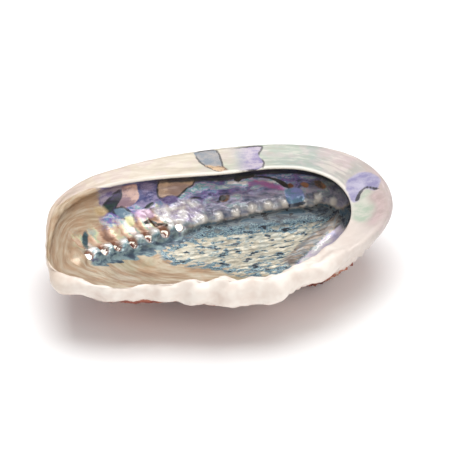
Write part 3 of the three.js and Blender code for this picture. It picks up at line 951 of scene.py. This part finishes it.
    def muscle_scar(self, colour):
        """Cream streaks with teal flecks, thickest along the border, and black pits."""
        t = self.t
        depth = self.scar + self.jag * 5.0
        cream = t.ramp(self.scar_flow, (0.32, tint(138, 130, 116)), (0.44, tint(182, 174, 154)),
                       (0.54, tint(206, 198, 178)), (0.68, tint(226, 220, 202)))
        colour = t.mix(t.step(-0.5, 3.5, depth), colour, cream)
        blue = t.step(0.48, 0.62, self.patchy) * 0.4
        colour = t.mix(blue * t.step(-1.0, 1.0, depth), colour, tint(148, 162, 160))
        flecks = t.ramp(self.grain, (0.35, tint(50, 66, 96)), (0.5, tint(104, 132, 144)),
                        (0.65, tint(150, 172, 170)))
        dense = t.step(9.0, 0.5, depth) * 0.11 + t.step(0.46, 0.6, self.broad) * 0.04
        colour = t.mix(t.step(0.55, 0.62, self.specks + dense) * t.step(-3.5, -0.8, depth), colour, flecks)
        pits = t.step(0.635, 0.66, self.specks + self.grain * 0.05) * t.step(-1.0, 0.0, depth)
        return t.mix(pits, colour, tint(26, 32, 44))

    def channel(self, colour):
        """The brown ridge beside the spire's channel and the pearly channel itself."""
        t = self.t
        on_floor = t.step(0.02, 0.12, self.ridge_along) * t.step(0.92, 0.8, self.ridge_along)
        brown = t.ramp(self.flow, (0.38, tint(112, 98, 90)), (0.46, tint(160, 142, 126)),
                       (0.54, tint(134, 142, 146)), (0.62, tint(176, 160, 146)))
        away = t.math("ABSOLUTE", self.ridge + 0.6 + self.jag * 1.5)
        colour = t.mix(t.step(4.0, 2.0, away) * on_floor, colour, brown)
        pearl = t.ramp(self.patchy * 0.5 + self.flow * 0.5, (0.38, tint(168, 164, 192)),
                       (0.48, tint(204, 190, 206)), (0.56, tint(214, 210, 210)), (0.66, tint(180, 196, 194)))
        lens = t.step(2.6, 3.6, self.ridge + self.jag * 1.5) * t.step(15.0, 12.0, self.ridge + self.jag * 2.0)
        colour = t.mix(lens * t.step(0.04, 0.1, self.ridge_along) * on_floor, colour, pearl)
        crack = t.step(0.5, 0.25, t.math("ABSOLUTE", self.ridge - 4.6 + self.jag * 4.0))
        part = t.step(0.2, 0.26, self.ridge_along) * t.step(0.56, 0.5, self.ridge_along)
        return t.mix(crack * part, colour, tint(250, 248, 246))

    def painted_shade_under_shelf_end(self, colour):
        """Painted shade, partly dark nacre, under the shelf's edge, broadest towards the spire."""
        t = self.t
        # painted shade: dark grey-blue under the shelf at the spire end
        end = t.step(44.0, 56.0, self.x) * t.step(19.0, 7.0, self.edge + self.jag * 5.0) * 0.9
        return t.mix(end, colour, t.mix(t.step(0.45, 0.6, self.flow), tint(30, 34, 48), tint(84, 88, 92)))

    def painted_shade_under_edge(self, colour):
        """Painted shade, partly dark nacre: the black line where the wall runs in under the shelf."""
        t = self.t
        # painted shade: black along the underside of the shelf's edge
        spread = t.step(-28.0, 12.0, self.x) * 4.2
        line = t.step(4.6, 3.2, self.edge - spread + self.jag * 1.5) * t.step(-36.0, -18.0, self.x)
        return t.mix(line * t.step(-24.0, -8.0, self.y) * 0.94, colour, tint(14, 12, 18))

    def pits(self, colour):
        """Copper dents around the open holes and the closed ones next to them."""
        t = self.t
        young = t.step(6.3, 5.9, self.number)
        beside = t.step(2.9, 2.0, self.pit + self.jag) * t.step(0.36, 0.5, self.patchy)
        colour = t.mix(beside * young * 0.8, colour, tint(136, 84, 56))
        return t.mix(t.step(2.1, 1.8, self.pit) * young * 0.7, colour, tint(60, 38, 34))

    def painted_hole_light(self):
        """Painted light in the holes: the open ones, and the closed ones next to them, are painted near white
        and made to glow.
        """
        return self.t.step(1.9, 1.75, self.pit) * self.t.step(6.4, 6.1, self.number)

    def patch(self, colour, patch):
        """One patch's streaks, and the dark line along its border if it has one."""
        t = self.t
        depth = t.measure(patch.name) + self.jag * (2.0 * patch.jag)
        streak = t.step(0.42, 0.58, self.flow * 0.45 + self.patchy * 0.4 + self.grain * 0.15)
        under, over = (tint(*shade) for shade in patch.colours)
        cover = t.step(-patch.soft, patch.soft, depth)
        shown = t.step(*patch.fade, self.x) if patch.fade else 1.0
        colour = t.mix(cover * shown, colour, t.mix(streak, under, over))
        if patch.line:
            border = t.step(0.75, 0.25, t.math("ABSOLUTE", depth)) * t.step(0.38, 0.5, self.patchy)
            border = border * shown * patch.line
            colour = t.mix(border, colour, tint(24, 20, 26))
        return colour

    def shelf_and_lip(self, look):
        """Cream that turns pale green and pink along the shelf, with a painted highlight along the shelf's
        rolled inner edge, and near white on the outer lip.
        """
        t = self.t
        along = (self.x + 70.0) / 145.0 + (self.broad - 0.5) * 0.35
        shelf = t.ramp(along, (0.10, look.cream), (0.42, tint(204, 192, 172)), (0.62, tint(172, 180, 164)),
                       (0.80, tint(158, 168, 160)), (0.96, tint(186, 172, 168)))
        shelf = t.mix(t.step(0.46, 0.62, self.patchy) * 0.30, shelf, tint(206, 180, 186))
        shelf = t.mix(t.step(0.50, 0.36, self.rim_flow) * 0.35, shelf, tint(172, 158, 140))
        shelf = t.mix(t.step(0.50, 0.66, self.rim_flow) * 0.35, shelf, tint(234, 226, 212))
        lip = t.ramp(self.patchy, (0.30, tint(232, 216, 204)), (0.62, look.lip))
        lip = t.mix(t.step(30.0, 52.0, self.x) * 0.7, lip, tint(214, 200, 192))
        outer = t.step(6.0, -10.0, self.y) * t.step(74.0, 50.0, self.x)
        # painted highlight: the rolled inner edge of the shelf turns near white
        painted_edge_highlight = t.step(-2.6, -1.2, self.edge) * t.step(-70.0, -45.0, self.x) * 0.7
        shelf = t.mix(painted_edge_highlight, shelf, tint(246, 240, 230))
        growing = t.step(-64.0, -76.0, self.x) * 0.4
        return t.mix(growing, t.mix(outer, shelf, lip), tint(206, 178, 150))

    def outer_back(self, look):
        """Reddish brown in bands of growth, with pale crust, greenish patches and paler wear where it rests.
        """
        t = self.t
        stage = t.math("LOGARITHM", t.math("MAXIMUM", self.growth, SPIRE_CORE), math.e) * GROWTH_SCALE
        bands = t.noise(t.mapped(self.place, scale=(0.15,) * 3), 3.4, 3.0, 0.6, 0.5, stage)
        colour = t.ramp(bands, (0.34, look.back_dark), (0.46, look.back), (0.58, tint(186, 112, 86)),
                        (0.70, tint(206, 178, 156)))
        crust = t.step(0.54, 0.64, self.patchy * 0.5 + self.broad * 0.5 + self.jag * 0.2)
        colour = t.mix(crust * 0.8, colour, tint(206, 196, 180))
        algae = t.step(0.6, 0.7, t.noise(self.place, 9.0, 3.0, 0.6, 0.8)) * 0.6
        colour = t.mix(algae, colour, tint(126, 138, 112))
        worn = t.step(1.4, 0.7, self.z) * t.step(0.3, 0.5, self.grain + 0.1)
        return t.mix(worn, colour, tint(206, 196, 188))


def shell_material(look, shift):
    """Mother of pearl inside, cream on the shelf and lip, and reddish brown outside, with painted shade under
    the shelf, painted highlights on the shelf's edge and knobs, and painted light in the holes.
    """
    material = bpy.data.materials.new("mother_of_pearl")
    t = Tree(material)
    n = Nacre(t, shift)
    bowl = n.tan_floor(look)
    for layer in (n.far_wall, n.young_row, n.sealed_row, n.muscle_scar, n.channel, n.teal_band, n.painted_shade_under_shelf_end):
        bowl = layer(bowl)
    for patch in PATCHES:
        if patch.on == "WALL":
            bowl = n.patch(bowl, patch)
    bowl = n.pits(n.painted_shade_under_edge(bowl))
    rim = n.shelf_and_lip(look)
    for patch in PATCHES:
        if patch.on == "SHELF":
            rim = n.patch(rim, patch)
    back = n.outer_back(look)
    flared = t.step(-46.0, -58.0, n.x) * t.step(-34.0, -22.0, n.y) * 3.2
    on_rim = t.step(0.35, -0.25, n.edge + flared + n.jag * 0.5)
    on_back = t.step(0.35, 0.6, n.back + n.jag * 0.5)
    colour = t.mix(on_back, t.mix(on_rim, bowl, rim), back)
    # painted light: near white in the holes
    colour = t.mix(n.painted_hole_light() * t.step(0.6, 0.3, n.back), colour, tint(252, 248, 242))

    relief_lines = n.rim_flow * 0.5 + n.grain * 0.5 + n.scar_flow * t.step(-1.0, 1.0, n.scar) * 0.8
    bump = t.out("ShaderNodeBump", 0, {}, {"Height": relief_lines, "Strength": 0.35, "Distance": 0.35 * MM})
    in_scar = t.step(-1.0, 1.0, n.scar) * t.step(6.0, 12.0, n.edge)
    roughness = 0.30 + in_scar * 0.16 + n.strip * 0.22 + on_rim * 0.08
    roughness = roughness + on_back * 0.3 + (n.patchy - 0.5) * 0.1
    metallic = t.step(0.3, 0.8, n.inside) * 0.22
    surface = t.out("ShaderNodeBsdfPrincipled", 0, {}, {
        "Base Color": colour, "Roughness": roughness, "Metallic": metallic, "Normal": bump,
        "Coat Weight": t.step(0.3, 0.8, n.inside) * 0.35, "Coat Roughness": 0.12, "IOR": 1.55,
        # painted light: the holes glow
        "Emission Color": t.mix(n.painted_hole_light(), (0.0, 0.0, 0.0), tint(236, 226, 214)),
        "Emission Strength": PAINTED_HOLE_GLOW})
    t.node("ShaderNodeOutputMaterial", {}, {"Surface": surface})
    return material


# ---------------------------------------------------------------------------------------------------
# Settings
# ---------------------------------------------------------------------------------------------------

def length_setting(name, description, size):
    return bpy.props.FloatProperty(name=name, description=description, default=size, unit="LENGTH")


def colour_setting(name, description, colour):
    return bpy.props.FloatVectorProperty(
        name=name, description=description, default=colour, subtype="COLOR", min=0.0, max=1.0)


def angle_setting(name, description, degrees):
    return bpy.props.FloatProperty(
        name=name, description=description, default=math.radians(degrees), subtype="ANGLE")


class ShellShape(bpy.types.PropertyGroup):
    """Sizes of the shell that a user would change."""

    sections: bpy.props.IntProperty(
        name="Sections", description="Radial sections round the bowl", default=540, min=96, max=720)
    rings: bpy.props.IntProperty(
        name="Rings", description="Rings from the bowl's middle over the rim to the back's", default=180,
        min=60, max=240)
    wall: length_setting("Wall", "Thickness of the wall", 5.0 * MM)
    floor: length_setting("Floor", "Height of the bowl's floor above the back's lowest point", 6.0 * MM)
    worn: length_setting("Worn", "Depth worn off the back where it rests", 0.6 * MM)
    hole_radius: length_setting("Hole radius", "Radius of the open breathing holes", 1.6 * MM)
    ripples: length_setting("Ripples", "Height of the ripples at the growing end", 0.28 * MM)
    scar_roughness: length_setting("Scar roughness", "Height of the muscle scar's streaks", 0.30 * MM)
    crust: length_setting("Crust", "Height of the crust on the back", 0.8 * MM)


class NacreLook(bpy.types.PropertyGroup):
    """Colours of the shell."""

    cream: colour_setting("Cream", "Colour of the shelf at the growing end", tint(206, 188, 170))
    lip: colour_setting("Lip", "Colour of the outer lip", tint(248, 238, 228))
    tan: colour_setting("Tan", "Colour of the rippled wall and floor", tint(188, 160, 132))
    tan_dark: colour_setting("Dark tan", "Colour in the hollows of the ripples", tint(150, 118, 90))
    tan_pale: colour_setting("Pale tan", "Colour on the crests of the ripples", tint(208, 192, 166))
    back: colour_setting("Back", "Colour of the outside", tint(136, 66, 52))
    back_dark: colour_setting("Dark back", "Colour of the outside's dark bands", tint(108, 40, 34))


class StudioLook(bpy.types.PropertyGroup):
    """The floor and the camera."""

    floor_colour: colour_setting("Floor colour", "Colour of the floor", (0.94, 0.94, 0.94))
    floor_size: length_setting("Floor size", "Side of the floor", 6.0)
    camera_turn: angle_setting("Camera turn", "Angle round from straight in front of the outer lip", -9.0)
    camera_rise: angle_setting("Camera rise", "Angle above the floor", 31.0)
    camera_distance: length_setting("Camera distance", "Distance to the point aimed at", 0.56)
    camera_lens: bpy.props.FloatProperty(
        name="Camera lens", description="Focal length in millimetres", default=100.0)


class AbaloneSettings(bpy.types.PropertyGroup):
    """All settings."""

    shape: bpy.props.PointerProperty(type=ShellShape)
    nacre: bpy.props.PointerProperty(type=NacreLook)
    studio: bpy.props.PointerProperty(type=StudioLook)


# ---------------------------------------------------------------------------------------------------
# Operators
# ---------------------------------------------------------------------------------------------------

# The lamps, which shine on the origin: name, place, side and power
LAMPS = (("overhead_softbox", (0.0, 0.14, 0.9), 0.75, 7.2),
         ("side_softbox", (0.45, -0.75, 0.6), 0.6, 2.0))
SKY_STRENGTH = 0.5
FLOOR_GLOW = 0.05
AIM = (0.518, 0.561, 0.609)      # the point aimed at, as shares of the shell's box
SENSOR_WIDTH = 36.0


class ABALONE_OT_shell(bpy.types.Operator):
    """Builds the shell in one piece, with its relief, holes and mother of pearl"""

    bl_idname = "abalone.shell"
    bl_label = "Build Shell"

    def execute(self, context):
        settings = context.scene.abalone
        shape = settings.shape
        skin = Skin(shape)
        measure(skin, shape)
        shift = pose_on_box(skin.points)
        raised = skin.points + skin.normals * relief(skin, shape)[..., None]
        raised[0] = raised[0].mean(0)
        raised[-1] = raised[-1].mean(0)
        raised[..., 2] = np.maximum(raised[..., 2], shape.worn / MM)

        bm = bmesh.new()
        bmesh.ops.create_uvsphere(bm, u_segments=shape.sections, v_segments=shape.rings, radius=1.0)
        mesh_data = bpy.data.meshes.new("shell_skin")
        bm.to_mesh(mesh_data)
        bm.free()
        ball = np.empty(len(mesh_data.vertices) * 3)
        mesh_data.vertices.foreach_get("co", ball)
        ball = ball.reshape(-1, 3)
        ring = np.rint(np.arccos(np.clip(ball[:, 2], -1.0, 1.0)) / np.pi * shape.rings).astype(int)
        section = np.rint(np.arctan2(ball[:, 1], ball[:, 0]) / TURN * shape.sections).astype(int)
        section %= shape.sections
        placed = (raised[ring, section] + shift) * MM
        mesh_data.vertices.foreach_set("co", placed.ravel())
        for name in MEASURES + tuple(patch.name for patch in PATCHES):
            layer = mesh_data.attributes.new(name, "FLOAT", "POINT")
            layer.data.foreach_set("value", getattr(skin, name)[ring, section].astype(np.float32))
        drill_holes(mesh_data, skin, shift, shape)
        for polygon in mesh_data.polygons:
            polygon.use_smooth = True
        mesh_data.materials.append(shell_material(settings.nacre, shift))

        piece = bpy.data.objects.new("abalone_shell", mesh_data)
        context.scene.collection.objects.link(piece)
        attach(piece, "root")
        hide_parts("shell")
        return {"FINISHED"}


class ABALONE_OT_stage(bpy.types.Operator):
    """Lays the floor, sets the lights and aims the camera"""

    bl_idname = "abalone.stage"
    bl_label = "Set Stage"

    def execute(self, context):
        studio = context.scene.abalone.studio
        scene = context.scene
        bm = bmesh.new()
        bmesh.ops.create_grid(bm, x_segments=1, y_segments=1, size=0.5 * studio.floor_size)
        floor_mesh = bpy.data.meshes.new("floor")
        bm.to_mesh(floor_mesh)
        bm.free()
        floor = bpy.data.objects.new("floor", floor_mesh)
        scene.collection.objects.link(floor)
        paper = bpy.data.materials.new("floor_paper")
        t = Tree(paper)
        shader = t.out("ShaderNodeBsdfPrincipled", 0, {}, {
            "Base Color": tuple(studio.floor_colour), "Roughness": 0.7,
            "Emission Color": (1.0, 0.97, 0.94), "Emission Strength": FLOOR_GLOW})
        t.node("ShaderNodeOutputMaterial", {}, {"Surface": shader})
        floor_mesh.materials.append(paper)

        world = bpy.data.worlds.new("studio_sky")
        scene.world = world
        t = Tree(world)
        sky = t.out("ShaderNodeBackground", 0, {}, {"Color": (1.0, 1.0, 1.0), "Strength": SKY_STRENGTH})
        t.node("ShaderNodeOutputWorld", {}, {"Surface": sky})

        for name, place, size, power in LAMPS:
            lamp = bpy.data.lights.new(name, "AREA")
            lamp.shape = "SQUARE"
            lamp.size = size
            lamp.energy = power
            light = bpy.data.objects.new(name, lamp)
            light.location = place
            light.rotation_euler = (-Vector(place)).to_track_quat("-Z", "Y").to_euler()
            scene.collection.objects.link(light)

        low, high = (Vector(corner) for corner in CAD_BOX)
        aim = low + Vector([share * size for share, size in zip(AIM, high - low)])
        turn, rise = studio.camera_turn, studio.camera_rise
        back = Vector((math.sin(turn) * math.cos(rise), -math.cos(turn) * math.cos(rise), math.sin(rise)))
        camera_data = bpy.data.cameras.new("camera")
        camera_data.lens = studio.camera_lens
        camera_data.sensor_width = SENSOR_WIDTH
        camera = bpy.data.objects.new("camera", camera_data)
        camera.location = aim + studio.camera_distance * back
        camera.rotation_euler = (-back).to_track_quat("-Z", "Y").to_euler()
        scene.collection.objects.link(camera)
        scene.camera = camera
        scene.view_settings.view_transform = "Standard"
        return {"FINISHED"}


class ABALONE_PT_panel(bpy.types.Panel):
    """The abalone shell's settings and steps"""

    bl_label = "Abalone Shell"
    bl_idname = "ABALONE_PT_panel"
    bl_space_type = "VIEW_3D"
    bl_region_type = "UI"
    bl_category = "Abalone"

    def draw(self, context):
        settings = context.scene.abalone
        for group in (settings.shape, settings.nacre, settings.studio):
            column = self.layout.column()
            for name in group.__annotations__:
                column.prop(group, name)
        self.layout.operator(ABALONE_OT_shell.bl_idname)
        self.layout.operator(ABALONE_OT_stage.bl_idname)


CLASSES = (ShellShape, NacreLook, StudioLook, AbaloneSettings, ABALONE_OT_shell, ABALONE_OT_stage,
           ABALONE_PT_panel)


def register():
    for cls in CLASSES:
        bpy.utils.register_class(cls)
    bpy.types.Scene.abalone = bpy.props.PointerProperty(type=AbaloneSettings)


def unregister():
    del bpy.types.Scene.abalone
    for cls in reversed(CLASSES):
        bpy.utils.unregister_class(cls)


def main():
    register()
    bpy.ops.abalone.shell()
    bpy.ops.abalone.stage()


if __name__ == "__main__":
    main()
